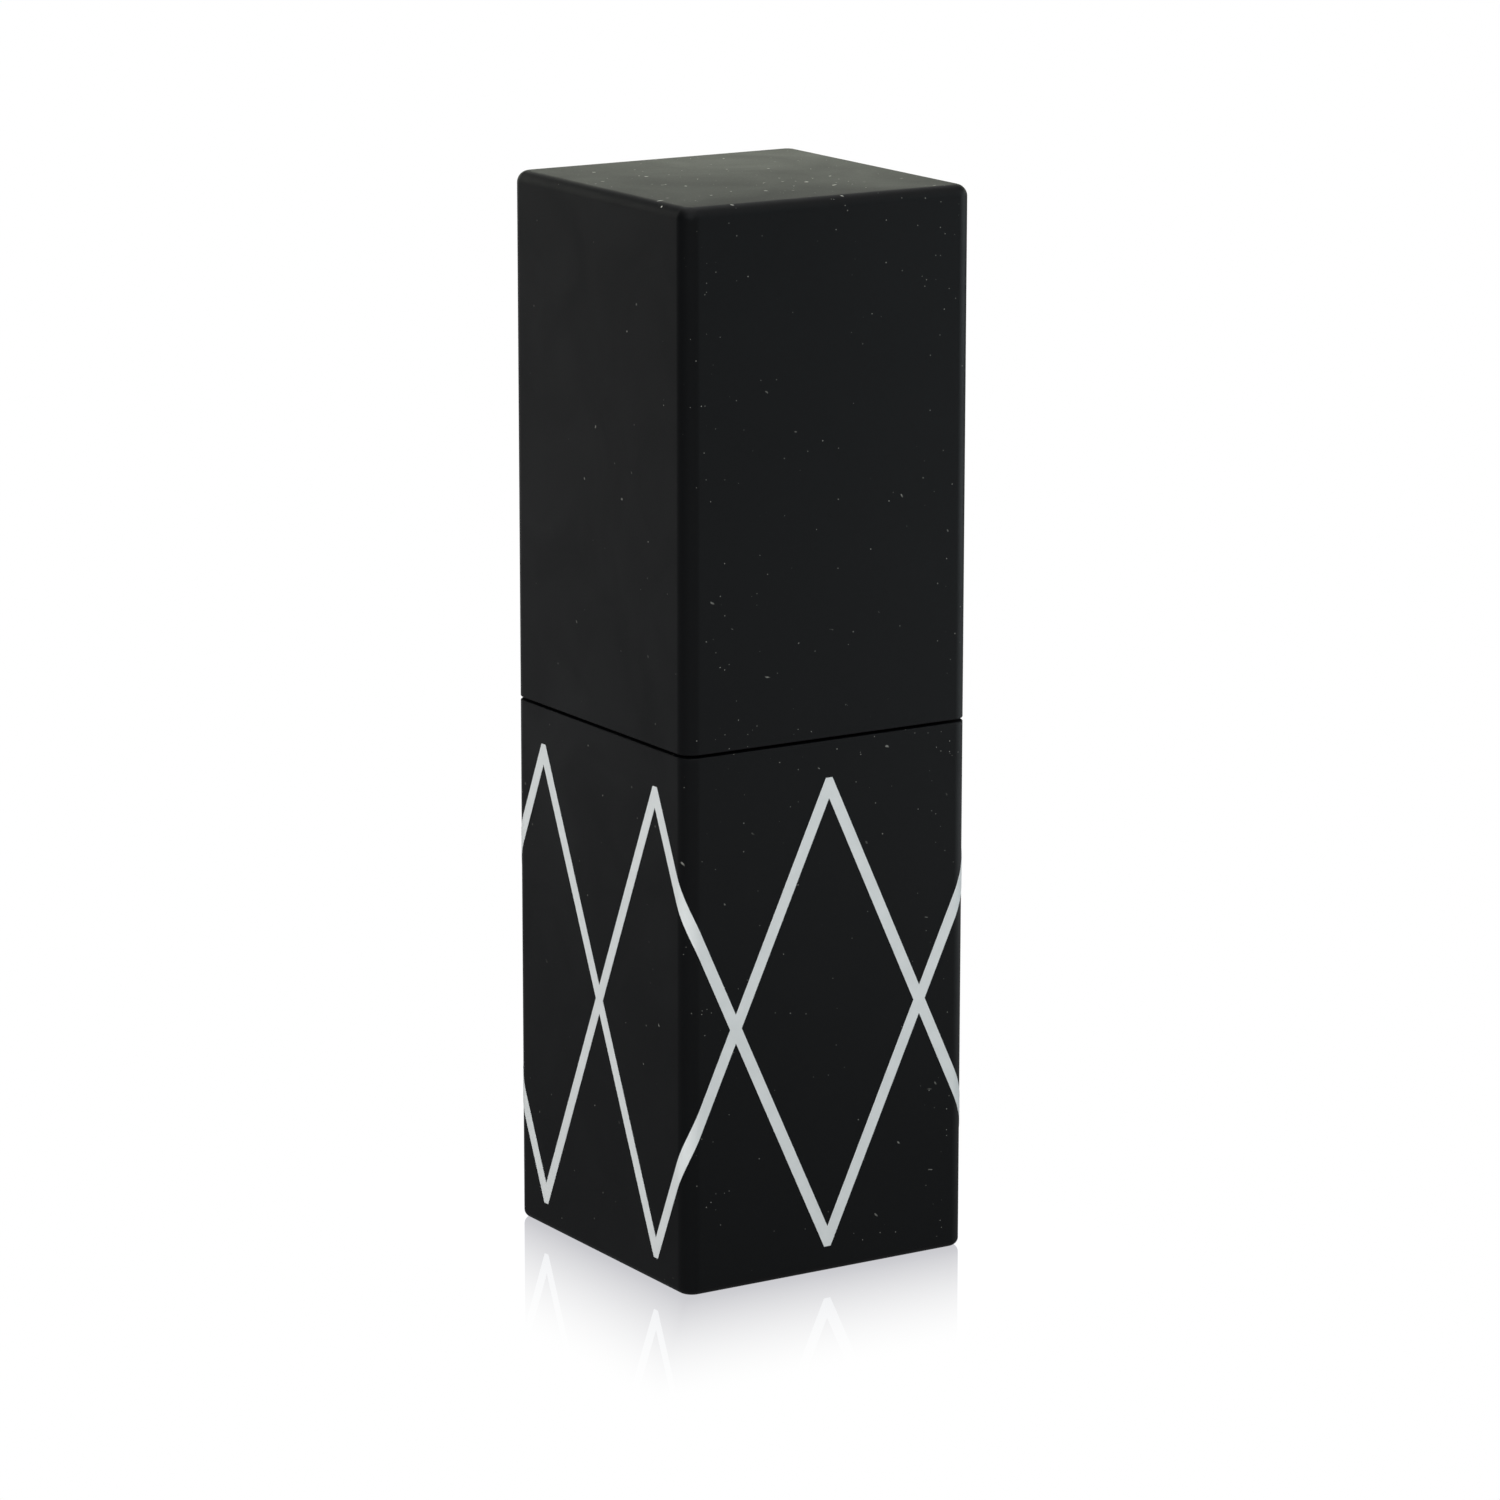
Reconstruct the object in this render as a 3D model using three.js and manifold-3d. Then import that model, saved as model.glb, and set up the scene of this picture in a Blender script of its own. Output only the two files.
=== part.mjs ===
// A square twist-up lipstick case with its cap closed.
// Units are millimetres, +Z is up, and the origin is the centre of the base's underside.
// The base stands still. The round sleeve turns in it, and a helical groove inside the sleeve
// lifts the cup and its bullet along two slots. The cap pulls straight off.
import * as THREE from "three";
import { mergeVertices } from "three/addons/utils/BufferGeometryUtils.js";
import Module from "manifold-3d";

const wasm = await Module();
wasm.setup();

// ---- driving dimensions ----------------------------------------------------------------------
const WIDTH = 22; // across the flats of the square case
const HEIGHT = 72; // base and cap together
const BASE_TOP = 36.3; // rim of the base shell
const SEAM = 0.2; // shadow gap between base and cap
const WALL = 1.55; // wall of both square shells
const CORNER_RADIUS = 1.1; // upright edges
const CAP_EDGE_RADIUS = 0.8; // edges of the cap's top face
const FOOT_EDGE_RADIUS = 0.5; // edges of the underside
const RIM_EDGE_RADIUS = 0.08; // edges that meet at the seam

const BULLET_RADIUS = 6;
const TRAVEL = 20; // rise of the cup from fully down to fully up
const TURNS = 1.5; // turns of the sleeve over that rise
const SLEEVE_TOP = BASE_TOP + 14;

const FIT = 0.15; // gap between a piece and the one it is glued or pressed into
const SNUG = 0.1; // the same where the piece is small
const END_GAP = 0.3; // gap between faces that meet end to end
const RUN = 0.12; // radial gap between pieces that turn or slide on each other
const EDGE = 0.15; // bevel on the edges of moulded pieces
const BEYOND = 1; // how far a cutter runs past the face that it opens

// ---- radii of the nested mechanism, from the bullet outwards ---------------------------------
const CUP_BORE = BULLET_RADIUS + RUN;
const CUP_RADIUS = CUP_BORE + 0.43;
const TUBE_BORE = CUP_RADIUS + FIT;
const TUBE_RADIUS = TUBE_BORE + 0.6;
const SPIRAL_BORE = TUBE_RADIUS + RUN;
const SPIRAL_RADIUS = SPIRAL_BORE + 0.73;
const SLEEVE_BORE = SPIRAL_RADIUS + SNUG;
const SLEEVE_RADIUS = SLEEVE_BORE + 0.35;
const SLEEVE_EDGE = 0.12; // bevel on the metal sleeve's mouth
const SOCKET_RADIUS = SLEEVE_RADIUS + FIT; // hole in the insert and the shoulder plate
const LINER_BORE = SLEEVE_RADIUS + 0.2;
const LINER_WALL = 0.5;
const LINER_RADIUS = LINER_BORE + LINER_WALL;
const FLANGE_RADIUS = SPIRAL_RADIUS + 0.2; // the slotted tube's flange
const TUBE_RIM_RADIUS = SPIRAL_RADIUS - 0.15; // its rim, which traps the spiral
const FOOT_RADIUS = TUBE_RADIUS + 0.3; // its foot, keyed into the insert

// ---- heights, from the underside up ----------------------------------------------------------
const FLOOR_TOP = 1.5; // floor of the base shell
const LABEL_RECESS = 0.35; // depth of the label's recess in the underside
const LABEL_TOP = 0.3;
const LABEL_BOTTOM = 0.15;
const WEIGHT_BOTTOM = FLOOR_TOP + FIT;
const WEIGHT_TOP = WEIGHT_BOTTOM + 2.5;
const INSERT_BOTTOM = WEIGHT_TOP + FIT;
const TUBE_BOTTOM = 6;
const LEDGE = 15.2; // step in the insert that carries the tube's flange
const FLANGE_TOP = LEDGE + 0.8;
const BRAKE_THICKNESS = 0.65;
const BRAKE_BOTTOM = FLANGE_TOP + FIT;
const BRAKE_TOP = BRAKE_BOTTOM + BRAKE_THICKNESS;
const SPIRAL_BOTTOM = BRAKE_TOP + SNUG;
const SLEEVE_BOTTOM = FLANGE_TOP + END_GAP;
const TUBE_TOP = SLEEVE_TOP - 0.2;
const TUBE_RIM = 0.6; // thickness of the tube's top flange
const SPIRAL_TOP = TUBE_TOP - TUBE_RIM - END_GAP;
const CUP_BOTTOM = 17.3;
const CUP_FLOOR = 0.8;
const CUP_HEIGHT = 12.3;
const LUG_HEIGHT = CUP_BOTTOM + 1.3; // centre of the cup's two lugs
const BULLET_TIP = SLEEVE_TOP - 1;
const SHOULDER_BOTTOM = BASE_TOP - 1.6;
const SHOULDER_TOP = BASE_TOP + 1.6;
const INSERT_TOP = SHOULDER_BOTTOM - 0.2;
const CAP_BOTTOM = BASE_TOP + SEAM;
const CAP_CEILING = HEIGHT - 1.5;
const LINER_BOTTOM = SHOULDER_TOP + END_GAP;
const LINER_TOP = CAP_CEILING - SNUG;
const LINER_FLANGE_TOP = LINER_BOTTOM + 2.8;

// ---- half widths of the square pieces --------------------------------------------------------
const HALF = WIDTH / 2;
const INNER_HALF = HALF - WALL; // inside of both shells
const INNER_CORNER = 0.6;
const MOUTH_LEAD = 0.1; // how much wider the cap's mouth is than its inside
const FILL_HALF = INNER_HALF - FIT; // pieces that fit inside the shells
const RECESS_HALF = 7.5;
const LABEL_HALF = RECESS_HALF - 0.2;
const LABEL_CORNER = 0.9;
const SHOULDER_EDGE = 0.3; // bevel round the step that the cap slips over
const CORNERS = [[1, 1], [-1, 1], [-1, -1], [1, -1]]; // in order round +Z

// ---- lugs, grooves, slots and keys -----------------------------------------------------------
const LUG_RADIUS = 0.85;
const LUG_REACH = SPIRAL_BORE + 0.36;
const GROOVE_RADIUS = LUG_REACH + SNUG;
const GROOVE_HALF_HEIGHT = LUG_RADIUS + 0.2;
const SLOT_HALF_WIDTH = LUG_RADIUS + 0.17;
const SLOT_END_GAP = 0.25; // past the lugs at each end of their travel
const HELIX_STEP = THREE.MathUtils.degToRad(9);
const RUN_OUT = THREE.MathUtils.degToRad(9); // level length of a groove past each end
const KEY_COUNT = 4;
const KEY_REACH = FOOT_RADIUS + 0.5;
const KEY_HALF_WIDTH = 0.8;
const RIB_COUNT = 6; // low ribs in the liner that centre it on the sleeve
const RIB_HEIGHT = SNUG;
const DRAIN_RADIUS = 2; // hole in the cup's floor

// ---- the bullet's nose -----------------------------------------------------------------------
const NOSE_LENGTH = 9;
const SLANT = THREE.MathUtils.degToRad(38); // of the cut face, from upright
const RIDGE = 3.2; // how far behind the axis the cut starts

// ---- magnets ---------------------------------------------------------------------------------
const MAGNET_RADIUS = 1.25;
const MAGNET_THICKNESS = 1.8;
const MAGNET_PLACE = 7.65; // distance of a magnet's axis from the X and the Y axis
const MAGNET_SKIN = 0.6; // plastic left between a pair of magnets, on each side
const SHOULDER_POCKET_TOP = SHOULDER_TOP - SHOULDER_EDGE - MAGNET_SKIN;
const LINER_POCKET_BOTTOM = LINER_BOTTOM + MAGNET_SKIN;

// ---- smoothness ------------------------------------------------------------------------------
const ROUND = 80; // sides of the large cylinders
const SMALL_ROUND = 20; // sides of magnets, lugs and pockets
const CORNER_STEPS = 6; // segments round each upright edge
const EDGE_STEPS = 5; // segments over a rounded rim
const NOSE_STEPS = 10; // rings over the bullet's nose

// ---- solids ----------------------------------------------------------------------------------
function solid(geometry) {
  const plain = geometry.clone();
  plain.deleteAttribute("normal");
  plain.deleteAttribute("uv");
  const merged = mergeVertices(plain, 1e-4);
  return new wasm.Manifold(
    new wasm.Mesh({
      numProp: 3,
      vertProperties: merged.attributes.position.array,
      triVerts: new Uint32Array(merged.index.array),
    }),
  );
}

function geometryOf(body) {
  const mesh = body.getMesh();
  const geometry = new THREE.BufferGeometry();
  geometry.setAttribute("position", new THREE.BufferAttribute(mesh.vertProperties, 3));
  geometry.setIndex(new THREE.BufferAttribute(mesh.triVerts, 1));
  geometry.computeVertexNormals();
  return geometry;
}

function cut(geometry, cutters) {
  return geometryOf(cutters.reduce((body, cutter) => body.subtract(solid(cutter)), solid(geometry)));
}

function join(geometries) {
  return geometryOf(geometries.map(solid).reduce((body, other) => body.add(other)));
}

// ---- shapes ----------------------------------------------------------------------------------
// A square with round corners, as points in order round +Z.
function squareRing(half, radius, z) {
  const centre = half - radius;
  return CORNERS.flatMap(([sx, sy], corner) =>
    Array.from({ length: CORNER_STEPS + 1 }, (_, i) => {
      const angle = ((corner + i / CORNER_STEPS) * Math.PI) / 2;
      return [sx * centre + radius * Math.cos(angle), sy * centre + radius * Math.sin(angle), z];
    }),
  );
}

// The rings of a rounded rim, from `from` to `to` degrees of a quarter round of the given radius.
// The section is `half` wide below the rim, and `z` is the level of the rim's flat face.
function rimRings(half, corner, radius, z, up, from, to) {
  return Array.from({ length: EDGE_STEPS + 1 }, (_, i) => {
    const angle = THREE.MathUtils.degToRad(from + ((to - from) * i) / EDGE_STEPS);
    const inset = radius * (1 - Math.cos(angle));
    return squareRing(half - inset, corner - inset, z - up * radius * (1 - Math.sin(angle)));
  });
}

// Joins rings of equal length into one closed skin, with a flat lid on the first and the last.
function loft(rings) {
  const count = rings[0].length;
  const indices = [];
  for (let ring = 0; ring + 1 < rings.length; ring++)
    for (let i = 0; i < count; i++) {
      const [a, b] = [ring * count + i, ring * count + ((i + 1) % count)];
      indices.push(a, b, b + count, a, b + count, a + count);
    }
  const last = (rings.length - 1) * count;
  for (let i = 1; i + 1 < count; i++) {
    indices.push(0, i + 1, i);
    indices.push(last, last + i, last + i + 1);
  }
  const geometry = new THREE.BufferGeometry();
  geometry.setAttribute("position", new THREE.Float32BufferAttribute(rings.flat(2), 3));
  geometry.setIndex(indices);
  return geometry;
}

function squareBlock(half, radius, bottom, top) {
  return loft([squareRing(half, radius, bottom), squareRing(half, radius, top)]);
}

// Turns a closed outline of [radius, height] points, counter-clockwise, about the Z axis.
function revolve(outline, sides = ROUND) {
  const points = [...outline, outline[0]].map(([r, z]) => new THREE.Vector2(r, z));
  return new THREE.LatheGeometry(points, sides).rotateX(Math.PI / 2);
}

function rod(radius, bottom, top, sides = ROUND) {
  const length = top - bottom;
  return new THREE.CylinderGeometry(radius, radius, length, sides)
    .rotateX(Math.PI / 2)
    .translate(0, 0, bottom + length / 2);
}

function tube(bore, radius, bottom, top) {
  return revolve([[bore, bottom], [radius, bottom], [radius, top], [bore, top]]);
}

// An upright bar from radius `inner` to radius `outer`, `turn` of a whole turn round from +X.
function radialBar(inner, outer, width, bottom, top, turn) {
  return new THREE.BoxGeometry(outer - inner, width, top - bottom)
    .translate((inner + outer) / 2, 0, (bottom + top) / 2)
    .rotateZ(turn * 2 * Math.PI);
}

// The same rod at each corner of the square.
function cornerRods(radius, bottom, top) {
  return CORNERS.map(([sx, sy]) =>
    rod(radius, bottom, top, SMALL_ROUND).translate(sx * MAGNET_PLACE, sy * MAGNET_PLACE, 0),
  );
}

// A rectangular bar wound up a right-hand helix, level for a short way past each end.
function helixBar(inner, outer, halfHeight, bottom, rise, turns, phase) {
  const sweep = turns * 2 * Math.PI;
  const steps = Math.round(sweep / HELIX_STEP);
  const climb = Array.from({ length: steps + 1 }, (_, i) => (i * sweep) / steps);
  const angles = [-RUN_OUT, ...climb, sweep + RUN_OUT];
  const rings = angles.map((angle) => {
    const middle = bottom + rise * THREE.MathUtils.clamp(angle / sweep, 0, 1);
    const [c, s] = [Math.cos(angle + phase), Math.sin(angle + phase)];
    return [[inner, -1], [inner, 1], [outer, 1], [outer, -1]].map(([r, side]) => [
      r * c,
      r * s,
      middle + side * halfHeight,
    ]);
  });
  return loft(rings);
}

// ---- the cap ---------------------------------------------------------------------------------
function capShell() {
  return loft([
    ...rimRings(HALF, CORNER_RADIUS, CAP_EDGE_RADIUS, HEIGHT, 1, 90, 0),
    ...rimRings(HALF, CORNER_RADIUS, RIM_EDGE_RADIUS, CAP_BOTTOM, -1, 0, 90),
    squareRing(INNER_HALF + MOUTH_LEAD, INNER_CORNER, CAP_BOTTOM),
    squareRing(INNER_HALF, INNER_CORNER, CAP_BOTTOM + 2 * EDGE),
    squareRing(INNER_HALF, INNER_CORNER, CAP_CEILING),
  ].reverse());
}

// A closed tube that slips over the sleeve, with a square flange that holds the magnets.
function capLiner() {
  const ceiling = LINER_TOP - LINER_WALL;
  const bevel = 0.4;
  const body = revolve([
    [0, ceiling],
    [LINER_BORE - bevel, ceiling],
    [LINER_BORE, ceiling - bevel],
    [LINER_BORE, LINER_BOTTOM],
    [LINER_RADIUS, LINER_BOTTOM],
    [LINER_RADIUS, LINER_TOP],
    [0, LINER_TOP],
  ]);
  const flange = cut(squareBlock(FILL_HALF, INNER_CORNER, LINER_BOTTOM, LINER_FLANGE_TOP), [
    rod(LINER_BORE, LINER_BOTTOM - BEYOND, LINER_FLANGE_TOP + BEYOND),
    ...cornerRods(MAGNET_RADIUS + SNUG, LINER_POCKET_BOTTOM, LINER_FLANGE_TOP + BEYOND),
  ]);
  return join([body, flange, ...gripRibs()]);
}

// Low ribs inside the liner's mouth that centre it on the sleeve.
function gripRibs() {
  const [width, length] = [0.8, 8];
  const bottom = LINER_BOTTOM + 1;
  const [inner, outer] = [LINER_BORE - RIB_HEIGHT, LINER_BORE + RIB_HEIGHT];
  return Array.from({ length: RIB_COUNT }, (_, i) =>
    radialBar(inner, outer, width, bottom, bottom + length, (i + 0.5) / RIB_COUNT),
  );
}

// ---- the base --------------------------------------------------------------------------------
function baseShell() {
  const shell = loft([
    ...rimRings(HALF, CORNER_RADIUS, FOOT_EDGE_RADIUS, 0, -1, 90, 0),
    ...rimRings(HALF, CORNER_RADIUS, RIM_EDGE_RADIUS, BASE_TOP, 1, 0, 90),
    squareRing(INNER_HALF, INNER_CORNER, BASE_TOP),
    squareRing(INNER_HALF, INNER_CORNER, FLOOR_TOP),
  ]);
  return cut(shell, [squareBlock(RECESS_HALF, LABEL_CORNER, -BEYOND, LABEL_RECESS)]);
}

function shadeLabel() {
  return squareBlock(LABEL_HALF, LABEL_CORNER, LABEL_BOTTOM, LABEL_TOP);
}

function baseWeight() {
  return squareBlock(FILL_HALF, INNER_CORNER, WEIGHT_BOTTOM, WEIGHT_TOP);
}

// The keys on the tube's foot, or the notches for them in the insert when `gap` is over 0.
function keys(gap, bottom, top) {
  return Array.from({ length: KEY_COUNT }, (_, i) =>
    radialBar(
      TUBE_RADIUS - EDGE,
      KEY_REACH + gap,
      2 * (KEY_HALF_WIDTH + gap),
      bottom,
      top,
      (i + 0.5) / KEY_COUNT,
    ),
  );
}

// A cored block that fills the base shell and holds the tube's foot and the turning sleeve.
function baseInsert() {
  const coreTop = INSERT_TOP - 3;
  return cut(squareBlock(FILL_HALF, INNER_CORNER, INSERT_BOTTOM, INSERT_TOP), [
    rod(SOCKET_RADIUS, LEDGE, INSERT_TOP + BEYOND),
    rod(FOOT_RADIUS + FIT, INSERT_BOTTOM - BEYOND, LEDGE + BEYOND),
    ...keys(FIT, TUBE_BOTTOM, LEDGE + BEYOND),
    ...cornerRods(MAGNET_RADIUS, INSERT_BOTTOM - BEYOND, coreTop),
  ]);
}

// The square step that the cap's mouth slips over, with magnets hidden under its corners.
function shoulderPlate() {
  const plate = loft([
    squareRing(FILL_HALF, INNER_CORNER, SHOULDER_BOTTOM),
    squareRing(FILL_HALF, INNER_CORNER, SHOULDER_TOP - SHOULDER_EDGE),
    squareRing(FILL_HALF - SHOULDER_EDGE, INNER_CORNER - SHOULDER_EDGE / 2, SHOULDER_TOP),
  ]);
  return cut(plate, [
    rod(SOCKET_RADIUS, SHOULDER_BOTTOM - BEYOND, SHOULDER_TOP + BEYOND),
    ...cornerRods(MAGNET_RADIUS + SNUG, SHOULDER_BOTTOM - BEYOND, SHOULDER_POCKET_TOP),
  ]);
}

// ---- the twist mechanism ---------------------------------------------------------------------
// The still tube: foot, flange, two upright slots for the lugs, and a rim that traps the spiral.
function slottedTube() {
  const body = revolve([
    [TUBE_BORE, TUBE_BOTTOM],
    [FOOT_RADIUS, TUBE_BOTTOM],
    [FOOT_RADIUS, LEDGE + SNUG],
    [FLANGE_RADIUS, LEDGE + SNUG],
    [FLANGE_RADIUS, FLANGE_TOP],
    [TUBE_RADIUS, FLANGE_TOP],
    [TUBE_RADIUS, TUBE_TOP - TUBE_RIM],
    [TUBE_RIM_RADIUS, TUBE_TOP - TUBE_RIM],
    [TUBE_RIM_RADIUS, TUBE_TOP - EDGE],
    [TUBE_RIM_RADIUS - EDGE, TUBE_TOP],
    [TUBE_BORE + EDGE, TUBE_TOP],
    [TUBE_BORE, TUBE_TOP - EDGE],
  ]);
  const slotBottom = LUG_HEIGHT - LUG_RADIUS - SLOT_END_GAP;
  const slotTop = LUG_HEIGHT + TRAVEL + LUG_RADIUS + SLOT_END_GAP;
  const bothSides = radialBar(-SLEEVE_RADIUS, SLEEVE_RADIUS, 2 * SLOT_HALF_WIDTH, slotBottom, slotTop, 0);
  return cut(join([body, ...keys(0, TUBE_BOTTOM + 1, LEDGE - 1)]), [bothSides]);
}

// A rubber ring under the spiral that drags on it, so that the case turns smoothly and stays put.
function brakeRing() {
  const [inner, outer] = [TUBE_RADIUS + SNUG, SPIRAL_RADIUS - SNUG];
  return revolve([
    [inner, BRAKE_BOTTOM + EDGE],
    [inner + EDGE, BRAKE_BOTTOM],
    [outer - EDGE, BRAKE_BOTTOM],
    [outer, BRAKE_BOTTOM + EDGE],
    [outer, BRAKE_TOP - EDGE],
    [outer - EDGE, BRAKE_TOP],
    [inner + EDGE, BRAKE_TOP],
    [inner, BRAKE_TOP - EDGE],
  ]);
}

// Two helical grooves on its inside lift the lugs as it turns with the sleeve.
function spiralSleeve() {
  const grooves = [0, Math.PI].map((phase) =>
    helixBar(TUBE_BORE, GROOVE_RADIUS, GROOVE_HALF_HEIGHT, LUG_HEIGHT, TRAVEL, TURNS, phase),
  );
  return cut(tube(SPIRAL_BORE, SPIRAL_RADIUS, SPIRAL_BOTTOM, SPIRAL_TOP), grooves);
}

// The metal tube that the fingers turn.
function outerSleeve() {
  return revolve([
    [SLEEVE_BORE, SLEEVE_BOTTOM],
    [SLEEVE_RADIUS, SLEEVE_BOTTOM],
    [SLEEVE_RADIUS, SLEEVE_TOP - SLEEVE_EDGE],
    [SLEEVE_RADIUS - SLEEVE_EDGE, SLEEVE_TOP],
    [SLEEVE_BORE + SLEEVE_EDGE, SLEEVE_TOP],
    [SLEEVE_BORE, SLEEVE_TOP - SLEEVE_EDGE],
  ]);
}

// The cup that holds the bullet, with a lug on each side that rides in the slots and grooves.
function bulletCup() {
  const top = CUP_BOTTOM + CUP_HEIGHT;
  const cup = revolve([
    [DRAIN_RADIUS, CUP_BOTTOM],
    [CUP_RADIUS, CUP_BOTTOM],
    [CUP_RADIUS, top - EDGE],
    [CUP_RADIUS - EDGE, top],
    [CUP_BORE + EDGE, top],
    [CUP_BORE, top - EDGE],
    [CUP_BORE, CUP_BOTTOM + CUP_FLOOR],
    [DRAIN_RADIUS, CUP_BOTTOM + CUP_FLOOR],
  ]);
  const length = LUG_REACH - CUP_BORE - SNUG;
  const lugs = [0, Math.PI].map((angle) =>
    new THREE.CylinderGeometry(LUG_RADIUS, LUG_RADIUS, length, SMALL_ROUND)
      .rotateZ(Math.PI / 2)
      .translate(LUG_REACH - length / 2, 0, LUG_HEIGHT)
      .rotateZ(angle),
  );
  return join([cup, ...lugs]);
}

// The stick: a cylinder with a domed nose, cut off at a slant that faces the front.
function lipstickBullet() {
  const bottom = CUP_BOTTOM + CUP_FLOOR + SNUG;
  const dome = Array.from({ length: NOSE_STEPS }, (_, i) => {
    const angle = (i * Math.PI) / 2 / NOSE_STEPS;
    return [BULLET_RADIUS * Math.cos(angle), BULLET_TIP - NOSE_LENGTH * (1 - Math.sin(angle))];
  });
  const stick = revolve([[0, bottom], [BULLET_RADIUS, bottom], ...dome, [0, BULLET_TIP]]);
  const reach = 30; // more than the stick's width and the slant's length
  const cutter = new THREE.BoxGeometry(reach, reach, 2 * reach)
    .translate(0, -reach / 2, 0)
    .rotateX(-SLANT)
    .translate(0, RIDGE, BULLET_TIP);
  return cut(stick, [cutter]);
}

// ---- materials -------------------------------------------------------------------------------
const finish = (color, roughness, metalness = 0) =>
  new THREE.MeshStandardMaterial({ color, roughness, metalness });

const SOFT_TOUCH_BLACK = finish(0x1b1c1d, 0.75);
const GLOSS_BLACK = finish(0x101011, 0.2);
const MOULDED_BLACK = finish(0x1a1a1a, 0.5);
const NATURAL_PLASTIC = finish(0xd8d6cf, 0.45);
const GUNMETAL = finish(0x3a3b3e, 0.25, 1);
const STEEL = finish(0x9a9c9e, 0.35, 1);
const NICKEL = finish(0xc4c2bc, 0.2, 1);
const RUBBER = finish(0x2a2a2a, 0.85);
const LABEL_PAPER = finish(0xe9e7e2, 0.6);
const LIP_COLOUR = finish(0x9c1f2e, 0.35);

// ---- the assembly ----------------------------------------------------------------------------
const lipstickCase = new THREE.Group();

function place(name, geometry, material) {
  const mesh = new THREE.Mesh(geometry, material);
  mesh.name = name;
  lipstickCase.add(mesh);
}

function placeMagnets(prefix, bottom) {
  cornerRods(MAGNET_RADIUS, bottom, bottom + MAGNET_THICKNESS).forEach((magnet, i) =>
    place(`${prefix}_${i + 1}`, magnet, NICKEL),
  );
}

place("cap_shell", capShell(), SOFT_TOUCH_BLACK);
place("cap_liner", capLiner(), MOULDED_BLACK);
placeMagnets("cap_magnet", LINER_POCKET_BOTTOM + SNUG);

place("base_shell", baseShell(), SOFT_TOUCH_BLACK);
place("base_insert", baseInsert(), MOULDED_BLACK);
place("base_weight", baseWeight(), STEEL);
place("shade_label", shadeLabel(), LABEL_PAPER);
place("shoulder_plate", shoulderPlate(), GLOSS_BLACK);
placeMagnets("base_magnet", SHOULDER_POCKET_TOP - SNUG - MAGNET_THICKNESS);

place("slotted_tube", slottedTube(), MOULDED_BLACK);
place("brake_ring", brakeRing(), RUBBER);
place("spiral_sleeve", spiralSleeve(), NATURAL_PLASTIC);
place("outer_sleeve", outerSleeve(), GUNMETAL);
place("bullet_cup", bulletCup(), GLOSS_BLACK);
place("lipstick_bullet", lipstickBullet(), LIP_COLOUR);

export default lipstickCase;
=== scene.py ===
"""A matt black square lipstick case, closed, on a white studio floor.

Lengths are millimetres until a mesh is made, and metres after that.
"""

import math

import bmesh
import bpy
from mathutils import Matrix, Vector

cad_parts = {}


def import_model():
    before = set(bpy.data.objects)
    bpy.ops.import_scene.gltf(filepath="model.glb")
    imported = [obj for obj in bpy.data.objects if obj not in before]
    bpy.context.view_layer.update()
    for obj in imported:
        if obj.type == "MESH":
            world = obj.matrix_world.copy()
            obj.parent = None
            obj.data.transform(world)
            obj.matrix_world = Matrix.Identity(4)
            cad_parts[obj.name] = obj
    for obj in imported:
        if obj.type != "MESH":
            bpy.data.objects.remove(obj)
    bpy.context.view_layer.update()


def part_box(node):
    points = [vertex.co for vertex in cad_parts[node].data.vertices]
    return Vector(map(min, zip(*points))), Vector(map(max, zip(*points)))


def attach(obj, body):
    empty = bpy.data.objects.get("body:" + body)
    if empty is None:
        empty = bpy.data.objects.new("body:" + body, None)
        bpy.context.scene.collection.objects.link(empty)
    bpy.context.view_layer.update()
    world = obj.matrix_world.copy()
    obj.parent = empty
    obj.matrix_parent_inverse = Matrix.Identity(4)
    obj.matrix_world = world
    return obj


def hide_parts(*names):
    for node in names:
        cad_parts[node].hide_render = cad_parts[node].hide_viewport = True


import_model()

MM = 0.001


# ---- sizes, read from the CAD nodes ------------------------------------------------------------
def box_mm(node):
    low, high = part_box(node)
    return low / MM, high / MM


CAP_LOW, CAP_HIGH = box_mm("cap_shell")
BASE_LOW, BASE_HIGH = box_mm("base_shell")
PLATE_LOW, PLATE_HIGH = box_mm("shoulder_plate")
INSERT_LOW, INSERT_HIGH = box_mm("base_insert")
LINER_LOW, LINER_HIGH = box_mm("cap_liner")
TUBE_LOW, TUBE_HIGH = box_mm("slotted_tube")
SPIRAL_LOW, SPIRAL_HIGH = box_mm("spiral_sleeve")
SLEEVE_LOW, SLEEVE_HIGH = box_mm("outer_sleeve")
CUP_LOW, CUP_HIGH = box_mm("bullet_cup")
BULLET_LOW, BULLET_HIGH = box_mm("lipstick_bullet")
BRAKE_LOW, BRAKE_HIGH = box_mm("brake_ring")
LABEL_LOW, LABEL_HIGH = box_mm("shade_label")
WEIGHT_LOW, WEIGHT_HIGH = box_mm("base_weight")

# sizes that the nodes' boxes don't show
HALF = CAP_HIGH.x
WALL = 1.55
INNER_HALF = HALF - WALL
INNER_CORNER = 0.6
CORNER_RADIUS = 1.1
TOP_EDGE_RADIUS = 0.8
FOOT_EDGE_RADIUS = 0.5
RIM_EDGE_RADIUS = 0.08
SHOULDER_EDGE = 0.3  # rounding of the step that the cap slips over
FLOOR_TOP = 1.5  # the inside floor of the base
CAP_TOP_WALL = 1.5
RECESS_HALF, RECESS_DEPTH, RECESS_CORNER = 7.5, 0.35, 0.9

FIT = 0.15  # gap between a piece and the one it is glued or pressed into
SNUG = 0.1  # the same where the piece is small
RUN = 0.12  # gap between pieces that turn or slide on each other

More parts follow.
